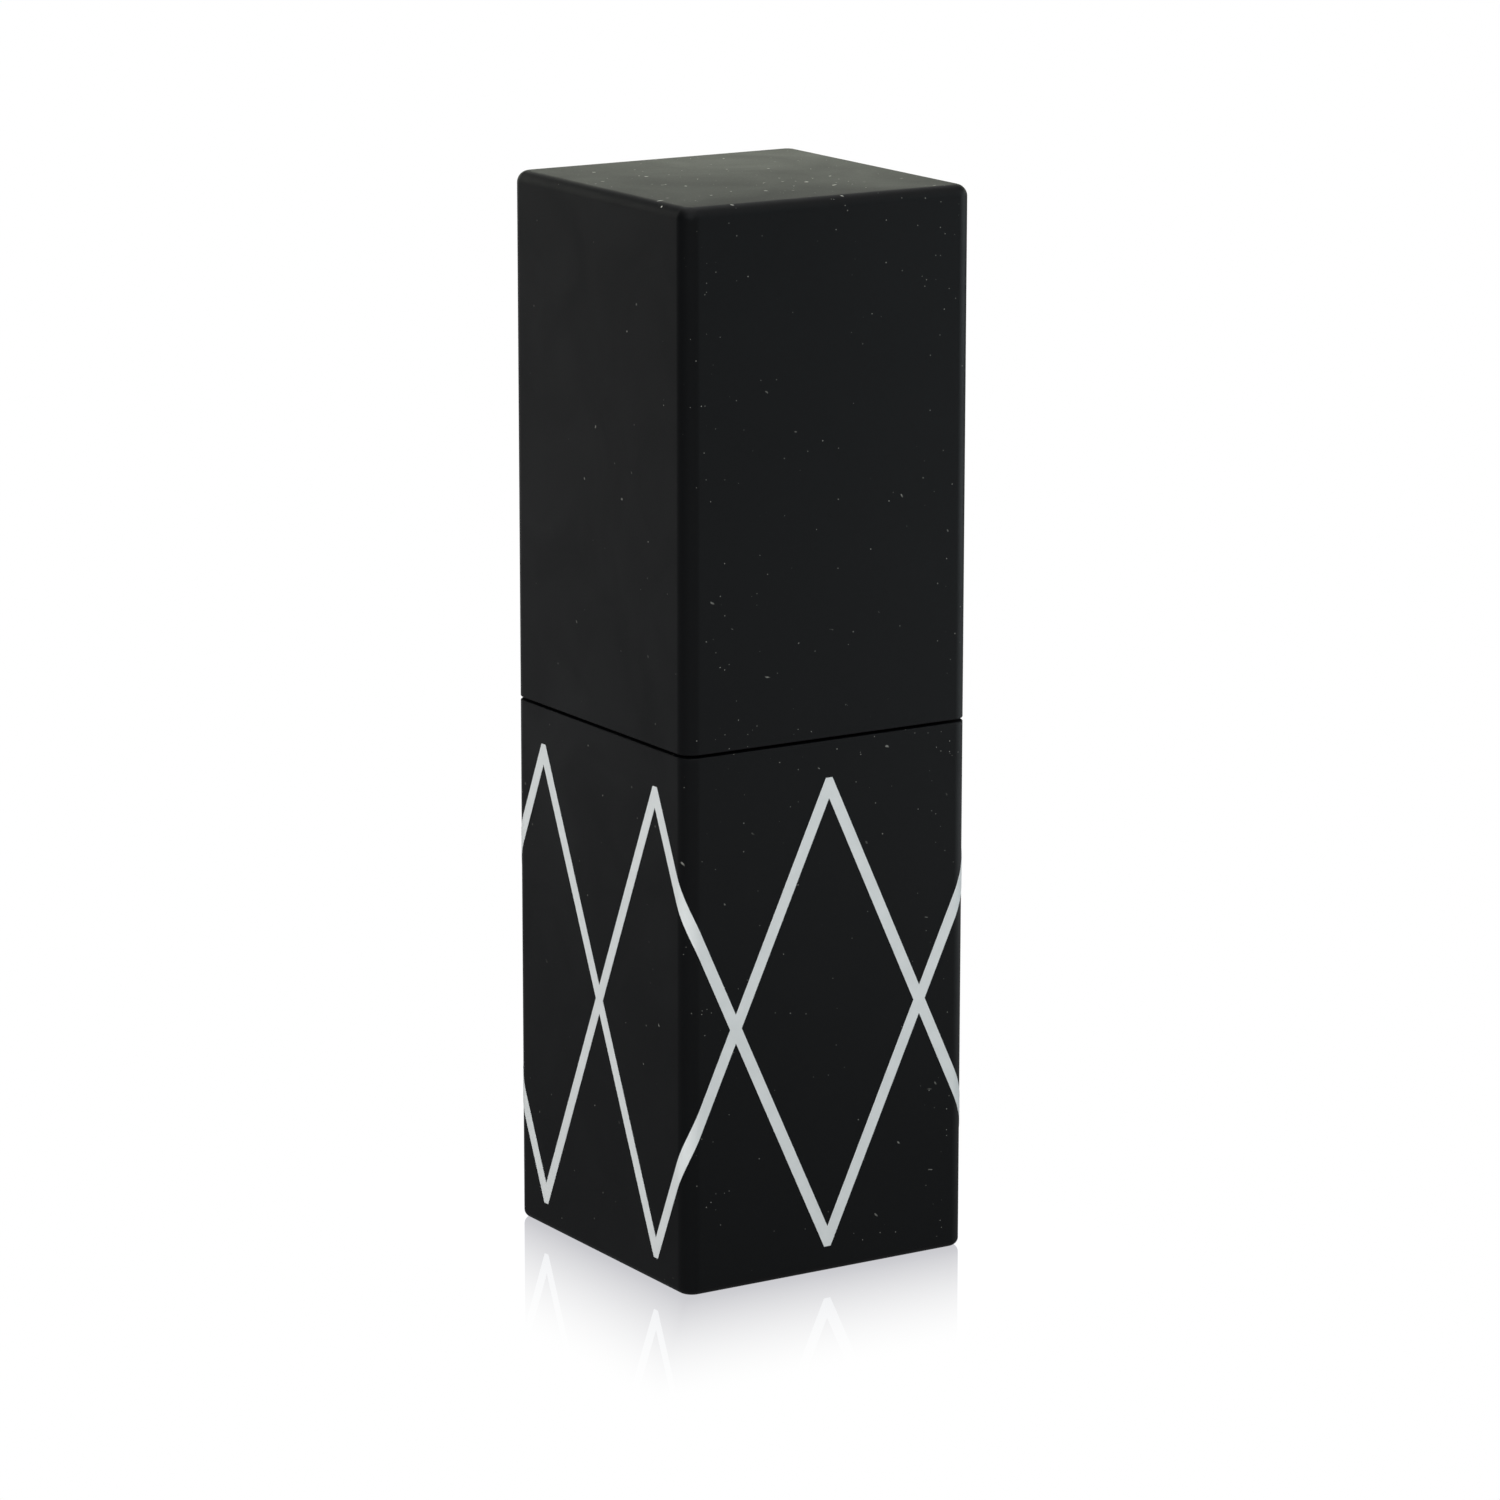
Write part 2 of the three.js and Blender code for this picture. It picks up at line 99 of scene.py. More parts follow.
BULLET_RADIUS = BULLET_HIGH.x
CUP_BORE = BULLET_RADIUS + RUN
CUP_RADIUS = CUP_HIGH.y
CUP_FLOOR = 0.8
TUBE_BORE = CUP_RADIUS + FIT
TUBE_RADIUS = TUBE_BORE + 0.6
SPIRAL_BORE = TUBE_RADIUS + RUN
SPIRAL_RADIUS = SPIRAL_HIGH.x
SLEEVE_RADIUS = SLEEVE_HIGH.x
SLEEVE_BORE = SPIRAL_RADIUS + SNUG
SOCKET_RADIUS = SLEEVE_RADIUS + FIT
LINER_BORE = SLEEVE_RADIUS + 0.2
LINER_WALL = 0.5
LINER_FLANGE = 2.8  # height of the square flange at the liner's mouth
LINER_RADIUS = LINER_BORE + LINER_WALL
FOOT_RADIUS = TUBE_RADIUS + 0.3  # the slotted tube's foot, flange and rim
FLANGE_RADIUS = SPIRAL_RADIUS + 0.2
TUBE_RIM_RADIUS = SPIRAL_RADIUS - 0.15
LEDGE = 15.2  # where the insert widens, under the tube's flange
FLANGE_TOP = LEDGE + 0.8
LUG_HEIGHT = CUP_LOW.z + 1.3
LUG_RADIUS = 0.85
LUG_REACH = CUP_HIGH.x
TRAVEL, TURNS = 20, 1.5
KEY_COUNT, KEY_WIDTH, KEY_REACH = 4, 1.6, FOOT_RADIUS + 0.5
MAGNET_PLACE = 7.65  # distance of a magnet's axis from the X and the Y axis
MAGNET_RADIUS = 1.25
MAGNET_SKIN = 0.6  # plastic left between a pair of magnets, on each side
POCKET_RADIUS = MAGNET_RADIUS + SNUG
CORNERS = [(1, 1), (-1, 1), (-1, -1), (1, -1)]
ROUND = 144  # sides of a turned piece
BEYOND = 1  # how far a cutter runs past the face that it opens
SHARP = 0.01  # the edge of a cutter


# ---- mesh tools --------------------------------------------------------------------------------
def mesh_object(name, points, faces):
    mesh = bpy.data.meshes.new(name)
    mesh.from_pydata([tuple(c * MM for c in p) for p in points], [], faces)
    mesh.validate()
    mesh.update()
    piece = bpy.data.objects.new(name, mesh)
    bpy.context.scene.collection.objects.link(piece)
    return piece


def loft(name, rings, closed=False):
    """Joins rings of equal length into one skin: with flat lids, or joined end to end."""
    count = len(rings[0])
    faces = []
    spans = len(rings) if closed else len(rings) - 1
    for k in range(spans):
        low, high = k * count, ((k + 1) % len(rings)) * count
        for i in range(count):
            j = (i + 1) % count
            faces.append((low + i, low + j, high + j, high + i))
    if not closed:
        last = (len(rings) - 1) * count
        faces.append(tuple(reversed(range(count))))
        faces.append(tuple(range(last, last + count)))
    piece = mesh_object(name, [p for ring in rings for p in ring], faces)
    outward(piece)
    return piece


def outward(piece):
    edit = bmesh.new()
    edit.from_mesh(piece.data)
    bmesh.ops.recalc_face_normals(edit, faces=edit.faces)
    edit.to_mesh(piece.data)
    edit.free()


def smooth(piece, angle=35):
    """Shades a piece smooth, except over edges sharper than the angle."""
    piece.data.shade_smooth()
    edit = bmesh.new()
    edit.from_mesh(piece.data)
    for edge in edit.edges:
        sharp = len(edge.link_faces) != 2 or edge.calc_face_angle() > math.radians(angle)
        edge.smooth = not sharp
    edit.to_mesh(piece.data)
    edit.free()
    weighted = piece.modifiers.new("even_shading", "WEIGHTED_NORMAL")
    weighted.keep_sharp = True
    weighted.weight = 100


def combine(piece, others, operation):
    """Applies one boolean with each of the other meshes, and removes them."""
    for other in others:
        step = piece.modifiers.new("step", "BOOLEAN")
        step.operation = operation
        step.solver = "EXACT"
        step.object = other
    bpy.context.view_layer.update()
    evaluated = piece.evaluated_get(bpy.context.evaluated_depsgraph_get())
    made = bpy.data.meshes.new_from_object(evaluated)
    piece.modifiers.clear()
    piece.data = made
    for other in others:
        bpy.data.objects.remove(other)
    return piece


def cut(piece, others):
    return combine(piece, others, "DIFFERENCE")


def join(piece, others):
    return combine(piece, others, "UNION")


def arc(centre, radius, start, end, steps):
    """Points of an arc in the plane of radius and height, in degrees from outwards."""
    angles = [math.radians(start + (end - start) * i / steps) for i in range(steps + 1)]
    return [(centre[0] + radius * math.cos(a), centre[1] + radius * math.sin(a)) for a in angles]


def rounded(corners, steps=4):
    """A closed outline of (radius, height, rounding) corners, with each corner rounded off."""
    outline = []
    count = len(corners)
    for i, (r, z, rounding) in enumerate(corners):
        here = Vector((r, z))
        if not rounding:
            outline.append((r, z))
            continue
        before = Vector(corners[i - 1][:2]) - here
        after = Vector(corners[(i + 1) % count][:2]) - here
        start = here + before.normalized() * rounding
        end = here + after.normalized() * rounding
        for k in range(steps + 1):
            t = k / steps
            p = start * (1 - t) ** 2 + here * 2 * t * (1 - t) + end * t**2
            outline.append((p.x, p.y))
    return outline


def lathe(name, outline, sides=ROUND):
    """Turns a closed outline of (radius, height) points about the Z axis."""
    rings = [
        [(r * math.cos(a), r * math.sin(a), z) for r, z in outline]
        for a in (2 * math.pi * i / sides for i in range(sides))
    ]
    return loft(name, rings, closed=True)


def circle(radius, z, sides=ROUND, x=0.0, y=0.0):
    angles = [2 * math.pi * i / sides for i in range(sides)]
    return [(x + radius * math.cos(a), y + radius * math.sin(a), z) for a in angles]


def disc(name, radius, low, high, edge, sides=48, x=0.0, y=0.0):
    """A short rod with rounded edges."""
    profile = [
        *arc((radius - edge, low + edge), edge, -90, 0, 4),
        *arc((radius - edge, high - edge), edge, 0, 90, 4),
    ]
    return loft(name, [circle(r, z, sides, x, y) for r, z in profile])


def square_ring(half, radius, z, steps=12):
    centre = half - radius
    ring = []
    for corner, (sx, sy) in enumerate(CORNERS):
        for i in range(steps + 1):
            a = (corner + i / steps) * math.pi / 2
            ring.append((sx * centre + radius * math.cos(a), sy * centre + radius * math.sin(a), z))
    return ring


def edge_rings(half, corner, radius, face, up, inside=False, steps=10):
    """Rings over a rounded edge, from the flat face at height `face` to the upright wall.

    `up` is 1 where the face looks up and -1 where it looks down.
    """
    rings = []
    for i in range(steps + 1):
        a = math.pi / 2 * i / steps
        inset = radius * (1 - math.sin(a))
        drop = radius * (1 - math.cos(a))
        reach = half + inset if inside else half - inset
        turn = corner + inset if inside else max(corner - inset, 0.02)
        rings.append(square_ring(reach, turn, face - up * drop))
    return rings


def square_block(name, half, corner, low, high, edge):
    return loft(name, [
        *edge_rings(half, corner, edge, low, -1, steps=4),
        *reversed(edge_rings(half, corner, edge, high, 1, steps=4)),
    ])


def radial_bar(inner, outer, width, low, high, turn):
    """An upright bar from radius `inner` to `outer`, `turn` of a whole turn round from +X."""
    a = 2 * math.pi * turn
    along, across = Vector((math.cos(a), math.sin(a))), Vector((-math.sin(a), math.cos(a)))
    corners = [(inner, -1), (outer, -1), (outer, 1), (inner, 1)]
    flat = [along * r + across * (side * width / 2) for r, side in corners]
    return loft("cutter", [[(p.x, p.y, z) for p in flat] for z in (low, high)])


def helix_bar(inner, outer, half_height, phase):
    """A bar wound up the lugs' path, level for a short way past each end."""
    sweep = TURNS * 2 * math.pi
    run_out = math.radians(9)
    steps = 90
    angles = [-run_out, *(sweep * i / steps for i in range(steps + 1)), sweep + run_out]
    rings = []
    for a in angles:
        middle = LUG_HEIGHT + TRAVEL * min(max(a / sweep, 0), 1)
        c, s = math.cos(a + phase), math.sin(a + phase)
        corners = [(inner, -1), (outer, -1), (outer, 1), (inner, 1)]
        rings.append([(r * c, r * s, middle + side * half_height) for r, side in corners])
    return loft("cutter", rings)


def corner_rods(radius, low, high):
    return [
        disc("cutter", radius, low, high, SHARP, 32, sx * MAGNET_PLACE, sy * MAGNET_PLACE)
        for sx, sy in CORNERS
    ]


# ---- materials ---------------------------------------------------------------------------------
def add_node(tree, kind, values=None, **settings):
    """Adds a node. Each value is a number or a colour, or the socket to link from."""
    node = tree.nodes.new(kind)
    for key, value in settings.items():
        setattr(node, key, value)
    for socket, value in (values or {}).items():
        if isinstance(value, bpy.types.NodeSocket):
            tree.links.new(value, node.inputs[socket])
        else:
            node.inputs[socket].default_value = value
    return node


class Nodes:
    """A material's node tree, with its Principled shader and short ways to add nodes."""

    def __init__(self, name, **sockets):
        self.material = bpy.data.materials.new(name)
        self.material.use_nodes = True
        self.tree = self.material.node_tree
        self.shader = self.tree.nodes["Principled BSDF"]
        for socket, value in sockets.items():
            self.shader.inputs[socket.replace("_", " ")].default_value = value
        self.place = self.add("ShaderNodeTexCoord").outputs["Object"]

    def add(self, kind, values=None, **settings):
        return add_node(self.tree, kind, values, **settings)

    def link(self, output, socket):
        self.tree.links.new(output, self.shader.inputs[socket])

    def mapped(self, scale=(1, 1, 1), turn=(0, 0, 0), place=None):
        """The object's coordinates, turned and then stretched."""
        turned = self.add("ShaderNodeMapping", {
            "Vector": place or self.place, "Rotation": [math.radians(t) for t in turn],
        }).outputs["Vector"]
        return self.add("ShaderNodeMapping", {"Vector": turned, "Scale": scale}).outputs["Vector"]

    def noise(self, size, detail=2.0, roughness=0.5, place=None, distortion=0.0):
        """Noise whose blotches are about `size` millimetres across."""
        return self.add("ShaderNodeTexNoise", {
            "Vector": place or self.place, "Scale": 1 / (size * MM), "Detail": detail,
            "Roughness": roughness, "Distortion": distortion,
        }).outputs["Fac"]

    def span(self, value, low, high, to_low=0.0, to_high=1.0, soft=False):
        return self.add("ShaderNodeMapRange", {
            "Value": value, "From Min": low, "From Max": high, "To Min": to_low, "To Max": to_high,
        }, interpolation_type="SMOOTHSTEP" if soft else "LINEAR").outputs["Result"]

    def spread(self, noise, low=0.0, high=1.0):
        """Stretches the reach that most of a noise keeps to, 0.3 to 0.7, to low to high."""
        return self.span(noise, 0.3, 0.7, low, high)

    def math(self, operation, a, b=0.0):
        return self.add("ShaderNodeMath", {0: a, 1: b}, operation=operation).outputs[0]

    def chain(self, operation, values):
        result = values[0]
        for value in values[1:]:
            result = self.math(operation, result, value)
        return result

    def most(self, *values):
        return self.chain("MAXIMUM", values)

    def times(self, *values):
        return self.chain("MULTIPLY", values)

    def mix(self, factor, a, b):
        node = self.add("ShaderNodeMix", data_type="RGBA")
        for name, value in (("Factor_Float", factor), ("A_Color", a), ("B_Color", b)):
            socket = next(s for s in node.inputs if s.identifier == name)
            if isinstance(value, bpy.types.NodeSocket):
                self.tree.links.new(value, socket)
            else:
                socket.default_value = value if name == "Factor_Float" else (*value, 1)
        return next(s for s in node.outputs if s.identifier == "Result_Color")

    def bump(self, height, strength, depth, normal=None):
        """Bump whose full height is `depth` millimetres."""
        values = {"Height": height, "Strength": strength, "Distance": depth * MM}
        if normal:
            values["Normal"] = normal
        return self.add("ShaderNodeBump", values).outputs["Normal"]

    def dust(self, size, speck, fill, turn=(0, 0, 0), stretch=1.0, more=0.0):
        """Specks, or lint where they are stretched. Returns their mask, bright to faint.

        `size` is the spacing and `speck` the radius, in millimetres, `fill` the share of the
        cells that hold a speck, and `more` a mask that raises that share.
        """
        bent = self.place
        if stretch != 1:
            wander = self.add("ShaderNodeTexNoise", {
                "Vector": self.place, "Scale": 1 / (0.5 * MM), "Detail": 1.0,
            }).outputs["Color"]
            swing = self.add("ShaderNodeVectorMath", {
                0: wander, "Scale": 0.30 * MM,
            }, operation="SCALE").outputs[0]
            bent = self.add("ShaderNodeVectorMath", {0: self.place, 1: swing}).outputs[0]
        place = self.mapped((1, 1, 1 / stretch), turn, bent)
        cells = self.add("ShaderNodeTexVoronoi", {"Vector": place, "Scale": 1 / (size * MM)})
        draws = self.add("ShaderNodeSeparateColor", {"Color": cells.outputs["Color"]}).outputs
        reach = self.span(draws["Green"], 0.0, 1.0, 0.55 * speck / size, 1.25 * speck / size)
        near = self.math("DIVIDE", cells.outputs["Distance"], reach)
        shape = self.span(near, 1.0, 0.5, soft=True)
        share = self.math("ADD", fill, self.times(more, 0.30))
        rank = self.math("DIVIDE", self.math("SUBTRACT", share, draws["Red"]), share)
        strength = self.math("POWER", self.math("MAXIMUM", rank, 0.0), 0.6)
        return self.times(shape, strength)


def soft_touch():
    n = Nodes("soft_touch_black", Metallic=0.0, Specular_IOR_Level=0.22, Sheen_Weight=0.0)
    axes = n.add("ShaderNodeSeparateXYZ", {"Vector": n.place}).outputs
    upward = n.span(axes["Z"], (CAP_HIGH.z - 0.5) * MM, (CAP_HIGH.z - 0.1) * MM)
    # powder gathers beside the upright edges, but not on their rounding, and along the seam
    from_middle = n.math("MINIMUM", n.math("ABSOLUTE", axes["X"]), n.math("ABSOLUTE", axes["Y"]))
    densest, on_rounding = 0.65, 0.05
    upright_edge = n.math(
        "MINIMUM",
        n.span(from_middle, (HALF - 4.0) * MM, (HALF - 1.5) * MM, 0.0, densest),
        n.span(from_middle, (HALF - 1.4) * MM, (HALF - 0.9) * MM, densest, on_rounding),
    )
    from_seam = n.math("ABSOLUTE", n.math("SUBTRACT", axes["Z"], CAP_LOW.z * MM))
    by_edges = n.most(upright_edge, n.span(from_seam, 2.5 * MM, 0.5 * MM, 0.0, 0.5))
    cloud = n.noise(14, 2, 0.5, distortion=0.4)
    fine = n.noise(2.2, 3, 0.6)
    tone = n.math("ADD", n.spread(cloud, 0.0, 0.7), n.spread(fine, 0.0, 0.3))
    paint = n.mix(tone, (0.0014, 0.0016, 0.0019), (0.0022, 0.0024, 0.0028))
    lint = n.most(
        n.dust(0.6, 0.055, 0.16, more=upward),
        n.dust(1.4, 0.080, 0.16),
        n.dust(0.9, 0.085, 0.12, (35, 40, 15), 5.0, upward),
        n.dust(1.0, 0.080, 0.12, (-50, 75, 70), 4.0, upward),
    )
    powder = n.dust(0.35, 0.045, 0.02, more=by_edges)
    dirt = n.most(lint, powder)
    # painted light: the lint is painted lighter on the top face and darker on the sides, as if lit
    # from above; the powder is half as light everywhere
    dust_lit_on_top = n.most(
        n.times(lint, n.span(upward, 0.0, 1.0, 0.27, 1.0)),
        n.times(powder, 0.5),
    )
    n.link(n.mix(dust_lit_on_top, paint, (0.80, 0.80, 0.72)), "Base Color")
    smudge = n.noise(7, 3, 0.55, distortion=0.8)
    grain = n.noise(0.11, 2, 0.6)
    rough = n.math("ADD", n.spread(smudge, 0.50, 0.57), n.spread(grain, -0.02, 0.02))
    n.link(n.most(rough, n.times(dirt, 0.9)), "Roughness")
    ripple = n.bump(n.noise(1.4, 1, 0.4), 0.35, 0.004)
    coat = n.bump(grain, 0.5, 0.004, ripple)
    n.link(n.bump(dirt, 0.8, 0.02, coat), "Normal")
    return n.material


def print_ink():
    n = Nodes("print_white", Metallic=0.0, Specular_IOR_Level=0.4)
    cover = n.noise(1.6, 3, 0.6)
    ink = n.mix(n.spread(cover), (0.735, 0.76, 0.75), (0.79, 0.81, 0.80))
    specks = n.most(n.dust(0.7, 0.05, 0.12), n.dust(1.6, 0.045, 0.12, (35, 40, 15), 6.0))
    n.link(n.mix(n.times(specks, 0.7), ink, (0.10, 0.10, 0.09)), "Base Color")
    n.link(n.spread(n.noise(0.5, 2), 0.42, 0.55), "Roughness")
    n.link(n.bump(n.noise(0.16, 2, 0.6), 0.5, 0.004), "Normal")
    return n.material


def gloss_black():
    n = Nodes("gloss_black", Metallic=0.0, Coat_Weight=0.4, Coat_Roughness=0.05)
    tone = n.spread(n.noise(3, 2))
    n.link(n.mix(tone, (0.004, 0.004, 0.0045), (0.007, 0.007, 0.008)), "Base Color")
    n.link(n.span(n.noise(1.1, 4, 0.65, distortion=0.6), 0.35, 0.7, 0.08, 0.2), "Roughness")
    n.link(n.bump(n.noise(2.4, 1), 0.2, 0.006), "Normal")
    return n.material


def moulded_black():
    n = Nodes("moulded_black", Metallic=0.0)
    tone = n.spread(n.noise(1.8, 3))
    n.link(n.mix(tone, (0.011, 0.011, 0.012), (0.017, 0.017, 0.018)), "Base Color")
    n.link(n.spread(n.noise(0.6, 3), 0.36, 0.5), "Roughness")
    n.link(n.bump(n.noise(0.13, 3, 0.6), 0.6, 0.008), "Normal")
    return n.material


def natural_plastic():
    n = Nodes("natural_plastic", Metallic=0.0, Subsurface_Weight=0.35, Subsurface_Scale=0.8 * MM)
    tone = n.spread(n.noise(2.5, 2))
    n.link(n.mix(tone, (0.66, 0.64, 0.57), (0.74, 0.72, 0.66)), "Base Color")
    n.link(n.spread(n.noise(0.7, 3), 0.32, 0.44), "Roughness")
    n.link(n.bump(n.noise(0.2, 2), 0.4, 0.006), "Normal")
    return n.material


def turned_metal(name, dark, light, rough, size, along=(1, 1, 1)):
    """Metal with fine marks left by turning or grinding.

    `size` is the marks' breadth in millimetres, and `along` squeezes them on each axis.
    """
    n = Nodes(name, Metallic=1.0)
    marks = n.noise(size, 3, 0.7, place=n.mapped(along))
    bloom = n.noise(5, 2)
    n.link(n.mix(n.spread(bloom), dark, light), "Base Color")
    tone = n.math("ADD", n.spread(marks, rough[0], rough[1]), n.spread(bloom, 0.0, 0.04))
    n.link(tone, "Roughness")
    n.link(n.bump(marks, 0.25, 0.002), "Normal")
    return n.material


def rubber():
    n = Nodes("brake_rubber", Metallic=0.0, Specular_IOR_Level=0.35)
    tone = n.spread(n.noise(0.8, 3))
    n.link(n.mix(tone, (0.014, 0.014, 0.014), (0.024, 0.024, 0.023)), "Base Color")
    n.link(n.spread(n.noise(0.3, 2), 0.7, 0.85), "Roughness")
    n.link(n.bump(n.noise(0.09, 3, 0.7), 0.7, 0.015), "Normal")
    return n.material


def label_paper():
    """Coated paper with a thin border, a round patch of the shade and three plain bars."""
    n = Nodes("label_paper", Metallic=0.0, Specular_IOR_Level=0.4)
    axes = n.add("ShaderNodeSeparateXYZ", {"Vector": n.place}).outputs
    x, y = (n.times(axes[i], 1 / MM) for i in (0, 1))
    reach = n.most(n.math("ABSOLUTE", x), n.math("ABSOLUTE", y))

    def stripe(value, low, high, soft):
        return n.times(n.span(value, low, low + soft), n.span(value, high, high - soft))

    border_inner, border_outer, soft_edge = 6.28, 6.52, 0.06
    border = stripe(reach, border_inner, border_outer, soft_edge)
    patch_middle, patch_radius = 2.1, 2.42
    away = n.add("ShaderNodeVectorMath", {
        0: n.place, 1: (0.0, patch_middle * MM, LABEL_LOW.z * MM),
    }, operation="DISTANCE").outputs["Value"]
    patch = n.span(n.times(away, 1 / MM), patch_radius, patch_radius - soft_edge)
    lowest_bar, bar_pitch, bar_reach = -4.6, 1.3, 4.4
    from_bar = n.math("PINGPONG", n.math("SUBTRACT", y, lowest_bar), bar_pitch / 2)
    bars = n.times(
        n.span(from_bar, 0.20, 0.15),
        n.span(n.math("ABSOLUTE", x), bar_reach, bar_reach - 0.1),
        stripe(y, lowest_bar - 0.3, lowest_bar + 2 * bar_pitch + 0.4, 0.1),
    )
    paper = n.mix(n.spread(n.noise(0.25, 4, 0.7)), (0.72, 0.70, 0.66), (0.80, 0.78, 0.75))
    inked = n.mix(n.most(border, bars), paper, (0.05, 0.05, 0.055))
    n.link(n.mix(patch, inked, (0.36, 0.012, 0.03)), "Base Color")
    n.link(n.spread(n.noise(0.4, 3), 0.5, 0.65), "Roughness")
    n.link(n.bump(n.noise(0.12, 4, 0.7), 0.5, 0.01), "Normal")
    return n.material


def lip_wax():
    n = Nodes(
        "lip_colour", Metallic=0.0, Subsurface_Weight=0.25, Subsurface_Scale=0.5 * MM,
        Subsurface_Radius=(1.0, 0.25, 0.2), Coat_Weight=0.15, Coat_Roughness=0.25,
    )
    cloud = n.noise(2.6, 3, 0.55)
    n.link(n.mix(n.spread(cloud), (0.33, 0.009, 0.024), (0.41, 0.014, 0.034)), "Base Color")
    n.link(n.spread(n.noise(0.9, 4, 0.6), 0.30, 0.42), "Roughness")
    pour = n.noise(0.5, 3, 0.6, place=n.mapped((1, 1, 0.25)))
    n.link(n.bump(n.noise(0.08, 2), 0.25, 0.006, n.bump(pour, 0.35, 0.008)), "Normal")
    return n.material


MATERIALS = {
    "soft_touch_black": soft_touch(),
    "print_white": print_ink(),
    "gloss_black": gloss_black(),
    "moulded_black": moulded_black(),
    "natural_plastic": natural_plastic(),
    "gunmetal_sleeve": turned_metal(
        "gunmetal_sleeve", (0.075, 0.077, 0.085), (0.10, 0.102, 0.112), (0.17, 0.29), 0.5,
        along=(0.1, 0.1, 3)),
    "steel_weight": turned_metal(
        "steel_weight", (0.34, 0.34, 0.35), (0.46, 0.46, 0.47), (0.30, 0.46), 0.4,
        along=(4, 0.1, 0.1)),
    "magnet_nickel": turned_metal(
        "magnet_nickel", (0.53, 0.52, 0.49), (0.62, 0.61, 0.58), (0.14, 0.26), 0.35),
    "brake_rubber": rubber(),
    "label_paper": label_paper(),
    "lip_colour": lip_wax(),
}


def finished(piece, name, body, slot, nodes):
    """Names and shades a piece, gives it its material, ties it to its body, and hides the CAD nodes it
    replaces.
    """
    piece.name = piece.data.name = name
    smooth(piece)
    piece.data.materials.clear()
    piece.data.materials.append(MATERIALS[slot])
    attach(piece, body)
    if nodes:
        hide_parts(*nodes)
    return piece


# ---- the two shells ----------------------------------------------------------------------------
def cap_shell():
    low, high = CAP_LOW.z, CAP_HIGH.z
    ceiling, ceiling_edge = high - CAP_TOP_WALL, 0.4
    mouth_edge = 0.12
    return loft("cap", [
        *edge_rings(HALF, CORNER_RADIUS, TOP_EDGE_RADIUS, high, 1, steps=14),
        *reversed(edge_rings(HALF, CORNER_RADIUS, RIM_EDGE_RADIUS, low, -1, steps=5)),
        *edge_rings(INNER_HALF, INNER_CORNER, mouth_edge, low, -1, inside=True, steps=4),
        *reversed(edge_rings(INNER_HALF, INNER_CORNER, ceiling_edge, ceiling, 1, steps=5)),
    ])


def base_shell():
    low, high = BASE_LOW.z, BASE_HIGH.z
    recess, recess_edge = low + RECESS_DEPTH, 0.06
    mouth_edge = 0.08
    return loft("base", [
        square_ring(RECESS_HALF, RECESS_CORNER, recess),
        *reversed(
            edge_rings(RECESS_HALF, RECESS_CORNER, recess_edge, low, -1, inside=True, steps=3)),
        *edge_rings(HALF, CORNER_RADIUS, FOOT_EDGE_RADIUS, low, -1),
        *reversed(edge_rings(HALF, CORNER_RADIUS, RIM_EDGE_RADIUS, high, 1, steps=5)),
        *edge_rings(INNER_HALF, INNER_CORNER, mouth_edge, high, 1, inside=True, steps=3),
        square_ring(INNER_HALF, INNER_CORNER, FLOOR_TOP),
    ])


# ---- the print: two interlaced zigzags round the base ------------------------------------------
PRINT_LINES, PRINT_PEAKS = 2, 3  # zigzags, and peaks in each
PRINT_MIDDLE, PRINT_SWING = 17.8, 15.6  # height of a line's middle, and its reach up and down
PRINT_WIDTH = 0.8
PRINT_PROUD, PRINT_LAYER = 0.020, 0.005  # thickness of the first line, and how much the next adds
STRAIGHT = 2 * (HALF - CORNER_RADIUS)
TURN = CORNER_RADIUS * math.pi / 2
GIRTH = 4 * (STRAIGHT + TURN)
FRONT_MIDDLE = GIRTH * 5 / 8 + TURN / 2  # the middle of the -Y side, along the girth


def on_wall(along, z, proud):
    """The point `along` the base's girth from the start of its +X +Y corner, just off the wall."""
    side, rest = divmod(along % GIRTH, STRAIGHT + TURN)
    sx, sy = CORNERS[int(side)]
    centre = HALF - CORNER_RADIUS
    reach = CORNER_RADIUS + proud
    a = side * math.pi / 2 + min(rest, TURN) / CORNER_RADIUS
    run = max(rest - TURN, 0)
    return (
        sx * centre + reach * math.cos(a) - run * math.sin(a),
        sy * centre + reach * math.sin(a) + run * math.cos(a),
        z,
    )


def zigzag_line(start, proud, blunt=0.42, steps=240):
    """A printed line of even width that zigzags up and down as it goes round the base.

    `start` is where the first peak stands, and `blunt` how far the cut-off tips reach past the
    middle of the line's bends.
    """
    run = GIRTH / (2 * PRINT_PEAKS)
    half = PRINT_WIDTH / 2 * math.hypot(1, 2 * PRINT_SWING / run)
    buried = -0.02
    rings = []
    for i in range(2 * PRINT_PEAKS * steps):
        s = start + run * i / steps
        rise = PRINT_SWING * (2 * abs(i / steps % 2 - 1) - 1)
        top = PRINT_MIDDLE + min(rise + half, PRINT_SWING + blunt)
        foot = PRINT_MIDDLE + max(rise - half, -PRINT_SWING - blunt)
        rings.append([
            on_wall(s, foot, proud), on_wall(s, top, proud),
            on_wall(s, top, buried), on_wall(s, foot, buried),
        ])
    return loft("print", rings, closed=True)


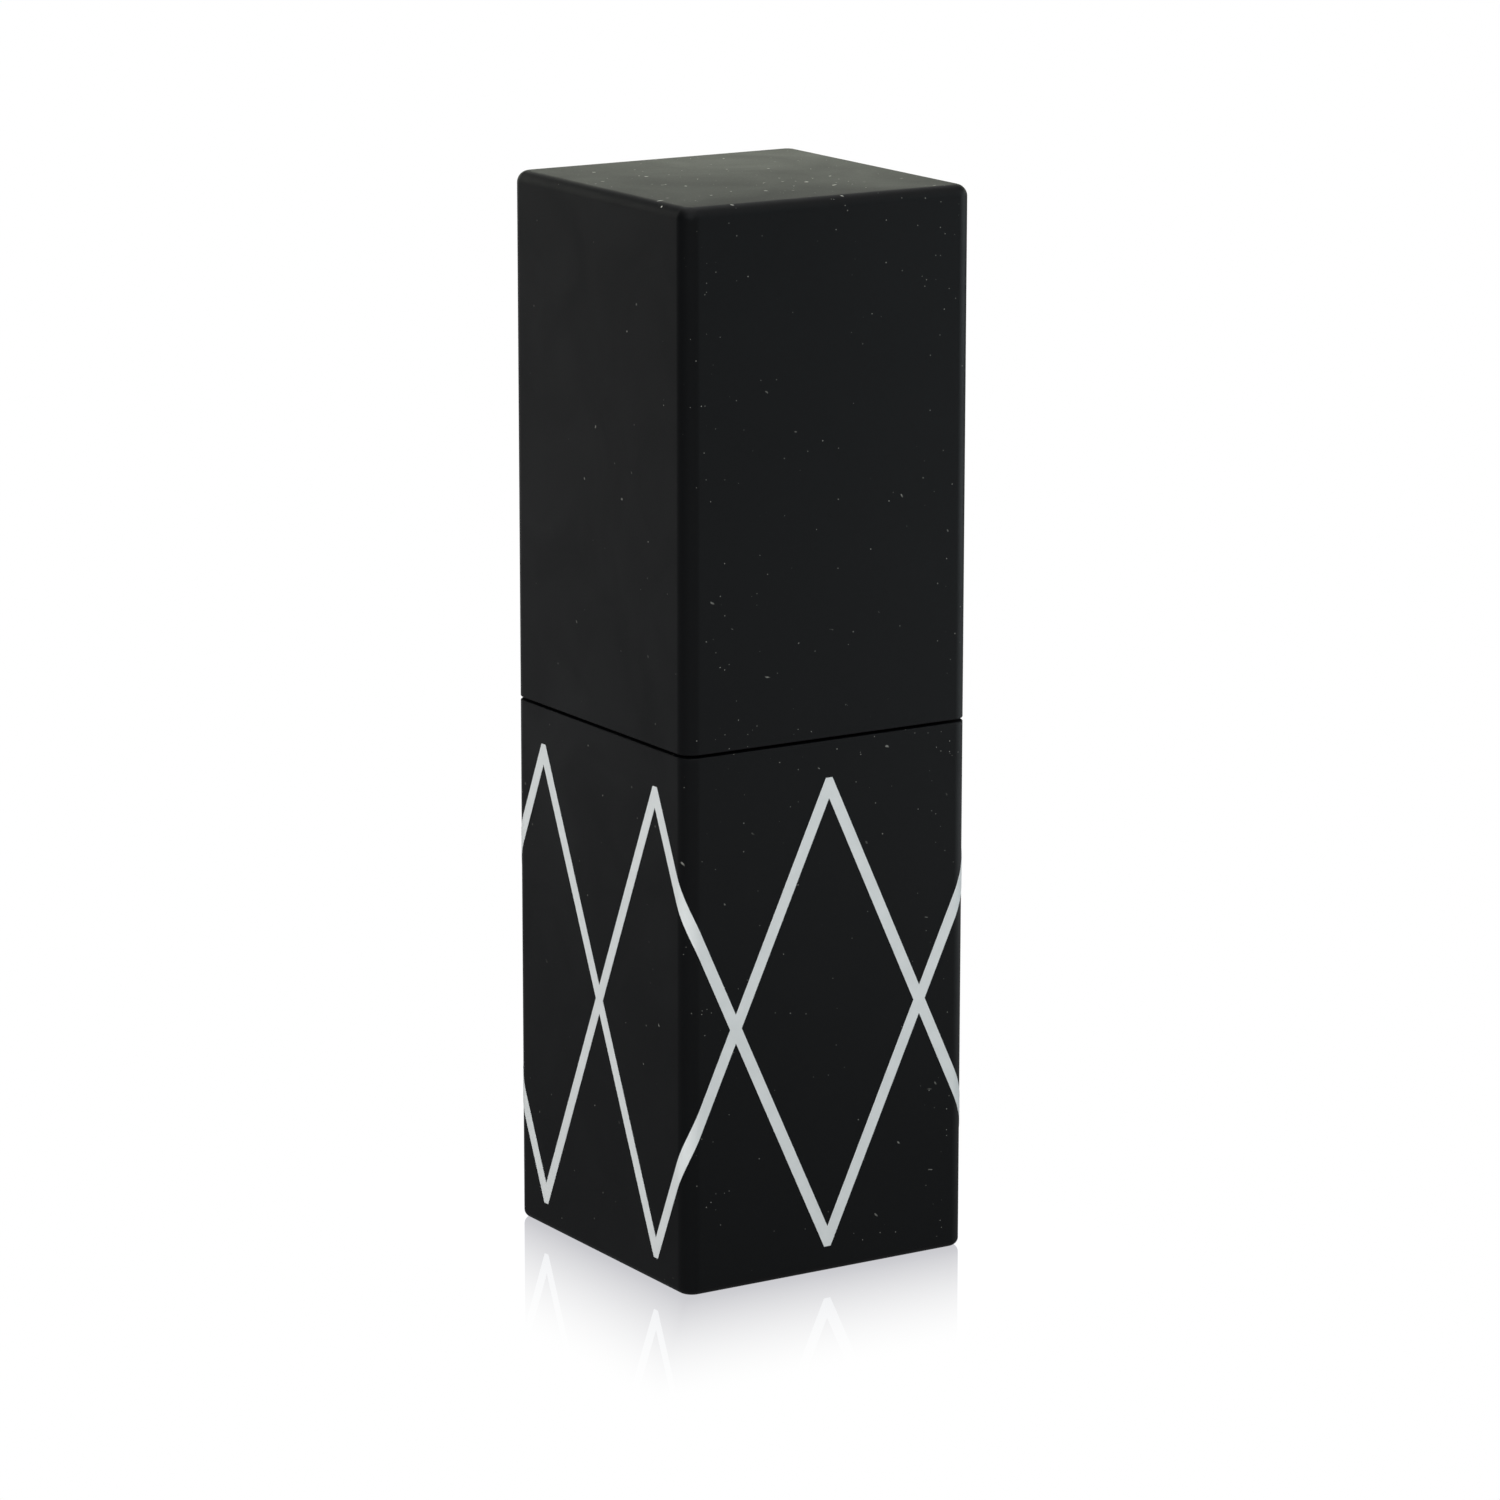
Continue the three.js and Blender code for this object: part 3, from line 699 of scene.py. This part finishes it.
# ---- the inside of the cap ---------------------------------------------------------------------
def cap_liner():
    low, high = LINER_LOW.z, LINER_HIGH.z
    ceiling = high - LINER_WALL
    flange_top = low + LINER_FLANGE
    round_over = 0.4
    profile = [
        *arc((LINER_BORE - round_over, ceiling - round_over), round_over, 90, 0, 5),
        (LINER_BORE, low + 0.2), (LINER_BORE + 0.15, low), (LINER_RADIUS, low),
        (LINER_RADIUS, high - 0.2), (LINER_RADIUS - 0.2, high),
    ]
    tube = loft("liner", [circle(r, z) for r, z in profile])
    flange = square_block("flange", INNER_HALF - FIT, INNER_CORNER, low, flange_top, edge=0.08)
    bore = disc("cutter", LINER_BORE, low - BEYOND, flange_top + BEYOND, SHARP, ROUND)
    pockets = corner_rods(POCKET_RADIUS, low + MAGNET_SKIN, flange_top + BEYOND)
    cut(flange, [bore, *pockets])
    rib_count, rib_width, rib_height = 6, 0.8, 0.1
    rib_low, rib_high = low + 1, low + 9
    inner, outer = LINER_BORE - rib_height, LINER_BORE + rib_height
    ribs = [
        radial_bar(inner, outer, rib_width, rib_low, rib_high, (i + 0.5) / rib_count)
        for i in range(rib_count)
    ]
    return join(tube, [flange, *ribs])


# ---- the still pieces of the base --------------------------------------------------------------
def shoulder_plate():
    low, high = PLATE_LOW.z, PLATE_HIGH.z
    plate = square_block("plate", PLATE_HIGH.x, INNER_CORNER, low, high, edge=SHOULDER_EDGE)
    hole = disc("cutter", SOCKET_RADIUS, low - BEYOND, high + BEYOND, SHARP, ROUND)
    pockets = corner_rods(POCKET_RADIUS, low - BEYOND, high - SHOULDER_EDGE - MAGNET_SKIN)
    return cut(plate, [hole, *pockets])


def keys(gap, low, high):
    """The keys on the tube's foot or, with a gap, cutters for their notches in the insert."""
    inner, outer, width = TUBE_RADIUS - FIT + gap, KEY_REACH + gap, KEY_WIDTH + 2 * gap
    return [
        radial_bar(inner, outer, width, low, high, (i + 0.5) / KEY_COUNT)
        for i in range(KEY_COUNT)
    ]


def base_insert():
    """A block with cored corners that holds the tube's foot and the turning sleeve."""
    low, high = INSERT_LOW.z, INSERT_HIGH.z
    core_top = high - 3
    block = square_block("insert", INSERT_HIGH.x, INNER_CORNER, low, high, edge=0.15)
    return cut(block, [
        disc("cutter", SOCKET_RADIUS, LEDGE, high + BEYOND, SHARP, ROUND),
        disc("cutter", FOOT_RADIUS + FIT, low - BEYOND, LEDGE + BEYOND, SHARP, ROUND),
        *keys(FIT, TUBE_LOW.z, LEDGE + BEYOND),
        *corner_rods(MAGNET_RADIUS, low - BEYOND, core_top),
    ])


def slotted_tube():
    low, high = TUBE_LOW.z, TUBE_HIGH.z
    under_flange, under_rim = LEDGE + SNUG, high - 0.6
    tube = lathe("tube", rounded([
        (TUBE_BORE, low, 0.1), (FOOT_RADIUS, low, 0.15), (FOOT_RADIUS, under_flange, 0),
        (FLANGE_RADIUS, under_flange, 0.1), (FLANGE_RADIUS, FLANGE_TOP, 0.1),
        (TUBE_RADIUS, FLANGE_TOP, 0), (TUBE_RADIUS, under_rim, 0),
        (TUBE_RIM_RADIUS, under_rim, 0.08), (TUBE_RIM_RADIUS, high, 0.2), (TUBE_BORE, high, 0.2),
    ]))
    join(tube, keys(0, low + 1, LEDGE - 1))
    width, reach = 2 * (LUG_RADIUS + 0.17), LUG_RADIUS + 0.25
    slot = radial_bar(
        -SLEEVE_RADIUS, SLEEVE_RADIUS, width, LUG_HEIGHT - reach, LUG_HEIGHT + TRAVEL + reach, 0)
    return cut(tube, [slot])


# ---- the pieces that turn ----------------------------------------------------------------------
def spiral_sleeve():
    sleeve = lathe("spiral", rounded([
        (SPIRAL_BORE, SPIRAL_LOW.z, 0.1), (SPIRAL_RADIUS, SPIRAL_LOW.z, 0.1),
        (SPIRAL_RADIUS, SPIRAL_HIGH.z, 0.1), (SPIRAL_BORE, SPIRAL_HIGH.z, 0.1),
    ]))
    grooves = [
        helix_bar(TUBE_BORE, LUG_REACH + SNUG, LUG_RADIUS + 0.2, phase) for phase in (0, math.pi)
    ]
    return cut(sleeve, grooves)


def outer_sleeve():
    low, high = SLEEVE_LOW.z, SLEEVE_HIGH.z
    return lathe("sleeve", rounded([
        (SLEEVE_BORE, low, 0.05), (SLEEVE_RADIUS, low, 0.08),
        (SLEEVE_RADIUS, high, 0.17), (SLEEVE_BORE, high, 0.17),
    ], 6), 192)


def brake_ring():
    inner, outer = TUBE_RADIUS + SNUG, SPIRAL_RADIUS - SNUG
    return lathe("brake", rounded([
        (inner, BRAKE_LOW.z, 0.28), (outer, BRAKE_LOW.z, 0.28),
        (outer, BRAKE_HIGH.z, 0.28), (inner, BRAKE_HIGH.z, 0.28),
    ], 5))


# ---- the pieces that rise ----------------------------------------------------------------------
def bullet_cup():
    low, high = CUP_LOW.z, CUP_HIGH.z
    hole, floor = 2.0, low + CUP_FLOOR
    cup = lathe("cup", rounded([
        (hole, low, 0.1), (CUP_RADIUS, low, 0.25), (CUP_RADIUS, high, 0.18),
        (CUP_BORE, high, 0.18), (CUP_BORE, floor, 0), (hole, floor, 0.1),
    ], 5))
    lugs = []
    for sign in (1, -1):
        lug = disc("lug", LUG_RADIUS, CUP_BORE + SNUG, LUG_REACH, 0.12, 32)
        turn = Matrix.Rotation(sign * math.pi / 2, 4, "Y")
        lug.data.transform(Matrix.Translation((0, 0, LUG_HEIGHT * MM)) @ turn)
        lugs.append(lug)
    return join(cup, lugs)


def lipstick_bullet(slant=38.0, ridge=3.2, nose=9.0, blend=0.35, rings=56, sides=144):
    """A stick with a domed nose and a slanted face, with the edge between them softened."""
    low = BULLET_LOW.z
    tip = SLEEVE_HIGH.z - 1
    base = tip - nose
    a = math.radians(slant)
    face = Vector((0, -math.cos(a), math.sin(a)))
    anchor = Vector((0, ridge, tip))

    def outside(p):
        rise = max(p.z - base, 0) / nose
        dome = (math.sqrt((p.x**2 + p.y**2) / BULLET_RADIUS**2 + rise**2) - 1) * BULLET_RADIUS
        plane = face.dot(p - anchor)
        gap = max(blend - abs(dome - plane), 0) / blend
        return max(dome, plane) + gap * gap * blend / 4

    centre = Vector((0, 0, base - 2.5))  # the skin is found by halving along rays from here
    longest_ray, halvings = 20.0, 36
    skin = []
    for k in range(rings):
        up = math.pi / 2 * k / rings
        ring = []
        for i in range(sides):
            turn = 2 * math.pi * i / sides
            ray = Vector((math.cos(up) * math.cos(turn), math.cos(up) * math.sin(turn), math.sin(up)))
            near, far = 0.0, longest_ray
            for _ in range(halvings):
                middle = (near + far) / 2
                if outside(centre + ray * middle) > 0:
                    far = middle
                else:
                    near = middle
            ring.append(tuple(centre + ray * near))
        skin.append(ring)
    edge = 0.3
    foot = arc((BULLET_RADIUS - edge, low + edge), edge, -90, 0, 4)
    return loft("bullet", [*(circle(r, z, sides) for r, z in foot), *skin])


# ---- the pieces, in place ----------------------------------------------------------------------
finished(cap_shell(), "cap_body", "cap", "soft_touch_black", ["cap_shell"])
finished(base_shell(), "base_body", "base", "soft_touch_black", ["base_shell"])
for i in range(PRINT_LINES):
    first_peak = FRONT_MIDDLE + GIRTH * i / (PRINT_LINES * PRINT_PEAKS)
    line = zigzag_line(first_peak, PRINT_PROUD + PRINT_LAYER * i)
    finished(line, f"print_zigzag_{i + 1}", "base", "print_white", [])
finished(cap_liner(), "cap_inner_tube", "cap", "moulded_black", ["cap_liner"])
finished(shoulder_plate(), "shoulder_step", "base", "gloss_black", ["shoulder_plate"])
finished(base_insert(), "insert_block", "base", "moulded_black", ["base_insert"])
finished(
    square_block("weight", WEIGHT_HIGH.x, INNER_CORNER, WEIGHT_LOW.z, WEIGHT_HIGH.z, edge=0.2),
    "weight_block", "base", "steel_weight", ["base_weight"])
finished(
    square_block("label", LABEL_HIGH.x, RECESS_CORNER, LABEL_LOW.z, LABEL_HIGH.z, edge=0.03),
    "shade_sticker", "base", "label_paper", ["shade_label"])
finished(slotted_tube(), "guide_tube", "base", "moulded_black", ["slotted_tube"])
finished(brake_ring(), "brake_band", "base", "brake_rubber", ["brake_ring"])
finished(spiral_sleeve(), "spiral_track", "sleeve", "natural_plastic", ["spiral_sleeve"])
finished(outer_sleeve(), "twist_sleeve", "sleeve", "gunmetal_sleeve", ["outer_sleeve"])
finished(bullet_cup(), "bullet_holder", "carriage", "gloss_black", ["bullet_cup"])
finished(lipstick_bullet(), "colour_stick", "carriage", "lip_colour", ["lipstick_bullet"])
for body in ("cap", "base"):
    for i, (sx, sy) in enumerate(CORNERS, 1):
        node = f"{body}_magnet_{i}"
        low, high = box_mm(node)
        magnet = disc(
            "magnet", MAGNET_RADIUS, low.z, high.z, 0.12, x=sx * MAGNET_PLACE, y=sy * MAGNET_PLACE)
        finished(magnet, f"{body}_magnet_disc_{i}", body, "magnet_nickel", [node])


# ---- the studio --------------------------------------------------------------------------------
def aim(thing, target):
    thing.rotation_mode = "QUATERNION"
    thing.rotation_quaternion = (Vector(target) - thing.location).to_track_quat("-Z", "Y")


MIDDLE = Vector((0, 0, 36 * MM))  # what the camera and the lights turn round
CAMERA_AZIMUTH = -32.082  # degrees round +Z from a camera that looks along +Y
CAMERA_ELEVATION, CAMERA_ROLL = 13.089, 0.068
CAMERA_DISTANCE = 421.0
CAMERA_RIGHT, CAMERA_DOWN = 0.663, 2.448  # how far it then slides across its own view
LENS, SENSOR = 151.4, 36


def softbox(name, turn, distance, height, size, glow, colour=(1, 1, 1), level=False):
    """A rectangular light that faces the case and that the camera doesn't see.

    `turn` is in degrees from the camera, to the picture's right, and `glow` is its radiance.
    """
    light = bpy.data.lights.new(name, "AREA")
    light.shape = "RECTANGLE"
    light.size, light.size_y = size
    light.energy = glow * math.pi * size[0] * size[1]
    light.color = colour
    box = bpy.data.objects.new(name, light)
    bpy.context.scene.collection.objects.link(box)
    a = math.radians(CAMERA_AZIMUTH + turn)
    box.location = (distance * math.sin(a), -distance * math.cos(a), height)
    aim(box, (0, 0, height) if level else MIDDLE)
    box.visible_camera = False
    return box


def camera():
    angles = (CAMERA_AZIMUTH, CAMERA_ELEVATION, CAMERA_ROLL)
    azimuth, elevation, roll = (math.radians(a) for a in angles)
    back = Vector((
        math.sin(azimuth) * math.cos(elevation),
        -math.cos(azimuth) * math.cos(elevation),
        math.sin(elevation),
    ))
    level_right = Vector((math.cos(azimuth), math.sin(azimuth), 0))
    level_up = back.cross(level_right)
    right = level_right * math.cos(roll) + level_up * math.sin(roll)
    up = level_up * math.cos(roll) - level_right * math.sin(roll)
    lens = bpy.data.cameras.new("camera")
    lens.lens, lens.sensor_width = LENS, SENSOR
    lens.clip_start, lens.clip_end = 0.01, 20
    eye = bpy.data.objects.new("camera", lens)
    bpy.context.scene.collection.objects.link(eye)
    slide = right * CAMERA_RIGHT - up * CAMERA_DOWN
    eye.location = MIDDLE + (back * CAMERA_DISTANCE + slide) * MM
    eye.rotation_mode = "QUATERNION"
    eye.rotation_quaternion = Matrix((right, up, back)).transposed().to_quaternion()
    bpy.context.scene.camera = eye


def world():
    """A dim room for lighting rays, and plain white where the camera or the floor's mirror sees it."""
    room = bpy.data.worlds.new("room")
    bpy.context.scene.world = room
    room.use_nodes = True
    tree = room.node_tree
    tree.nodes.clear()
    dim = add_node(tree, "ShaderNodeBackground", {"Color": (0.97, 1.0, 1.03, 1), "Strength": 0.028})
    plain = add_node(tree, "ShaderNodeBackground", {"Color": (1, 1, 1, 1), "Strength": 1.0})
    path = add_node(tree, "ShaderNodeLightPath").outputs
    seen = add_node(tree, "ShaderNodeMath", {
        0: path["Is Camera Ray"], 1: path["Is Singular Ray"],
    }, operation="MAXIMUM")
    both = add_node(tree, "ShaderNodeMixShader", {
        0: seen.outputs[0], 1: dim.outputs[0], 2: plain.outputs[0],
    })
    add_node(tree, "ShaderNodeOutputWorld", {"Surface": both.outputs[0]})


def studio_floor():
    """A white floor that mirrors the foot of what stands on it, and glows softly round it."""
    side = 3000
    corners = [(-side, -side, 0), (side, -side, 0), (side, side, 0), (-side, side, 0)]
    floor = mesh_object("floor", corners, [(0, 1, 2, 3)])
    just_under = 0.02
    floor.location.z = -just_under * MM
    n = Nodes("white_floor")
    # what the camera sees: white, with a mirror image with a painted bluish tint, that fades out away
    # from the case's foot
    fade_x, fade_y, fade_power = 12.77, 17.14, 1.7
    mirror_gain, mirror_limit = 2.05, 0.6
    outside = n.add("ShaderNodeVectorMath", {0: n.place}, operation="ABSOLUTE").outputs[0]
    outside = n.add("ShaderNodeVectorMath", {
        0: outside, 1: (HALF * MM, HALF * MM, 0),
    }, operation="SUBTRACT").outputs[0]
    axes = n.add("ShaderNodeSeparateXYZ", {"Vector": outside}).outputs
    away = n.most(n.times(axes["X"], 1 / (fade_x * MM)), n.times(axes["Y"], 1 / (fade_y * MM)))
    fade = n.math("POWER", n.span(away, 0.0, 1.0, 1.0, 0.0), fade_power)
    glance = n.add("ShaderNodeFresnel", {"IOR": 1.5}).outputs[0]
    share = n.math("MINIMUM", n.times(fade, glance, mirror_gain), mirror_limit)
    plain = n.add("ShaderNodeEmission", {"Color": (1, 1, 1, 1), "Strength": 1.0}).outputs[0]
    mirror = n.add("ShaderNodeBsdfGlossy", {"Color": (1, 1, 1, 1), "Roughness": 0.0}).outputs[0]
    # painted reflection: a faint bluish glow is added to the mirror image to tint it
    painted_reflection_tint = n.add("ShaderNodeEmission", {"Color": (0.25, 0.25, 1.0, 1), "Strength": 0.09}).outputs[0]
    mirror_and_painted_tint = n.add("ShaderNodeAddShader", {0: mirror, 1: painted_reflection_tint}).outputs[0]
    seen = n.add("ShaderNodeMixShader", {0: share, 1: plain, 2: mirror_and_painted_tint}).outputs[0]
    # what lights the case from below: a ring that is brighter to the picture's right
    ring_start, ring_full, ring_shift = 75 * MM, 110 * MM, 0.25
    ring_left, ring_right, lean = 0.48, 0.58, 60 * MM
    glow_full, glow_end, under = 160 * MM, 215 * MM, 0.28
    around = n.add("ShaderNodeVectorMath", {0: n.place}, operation="LENGTH").outputs["Value"]
    a = math.radians(CAMERA_AZIMUTH)
    right = n.add("ShaderNodeVectorMath", {
        0: n.place, 1: (math.cos(a), math.sin(a), 0),
    }, operation="DOT_PRODUCT").outputs["Value"]
    shifted = n.math("ADD", around, n.times(right, ring_shift))
    ring = n.times(
        n.span(shifted, ring_start, ring_full, soft=True),
        n.span(right, -lean, lean, ring_left, ring_right, soft=True),
    )
    outer = n.span(around, glow_end, glow_full, soft=True)
    glow = n.times(n.math("ADD", ring, under), outer)
    unseen = n.add("ShaderNodeEmission", {
        "Color": (0.98, 1.0, 1.02, 1), "Strength": glow,
    }).outputs[0]
    path = n.add("ShaderNodeLightPath").outputs["Is Camera Ray"]
    both = n.add("ShaderNodeMixShader", {0: path, 1: unseen, 2: seen}).outputs[0]
    n.tree.links.new(both, n.tree.nodes["Material Output"].inputs["Surface"])
    floor.data.materials.append(n.material)


camera()
world()
studio_floor()
# name, turn, distance, height, size, glow and colour, in metres
softbox("top_box", 0, 0.0, 0.60, (0.50, 0.50), 1.59)
softbox("front_box", 0, 0.60, 0.45, (0.40, 0.40), 2.72, (0.945, 1.01, 1.047))
softbox("right_box", 60, 0.40, 0.50, (0.30, 0.30), 0.91)
softbox("left_strip", -130, 0.17, 0.07, (0.09, 0.16), 0.74)
softbox("right_strip", 100, 0.17, 0.07, (0.09, 0.16), 2.62, (0.905, 1.024, 1.069))
softbox("back_box", 180, 0.45, 0.50, (0.40, 0.30), 1.2)
softbox("back_strip", 180, 0.032, 0.078, (0.11, 0.010), 1.82, (1.02, 1.08, 0.90), level=True)
fill = softbox("fill_box", -33, 0.70, 0.33, (0.40, 0.40), 7.0)
fill.visible_glossy = False  # it lifts the print and leaves the black coat as dark as it is
bpy.context.scene.view_settings.view_transform = "Standard"
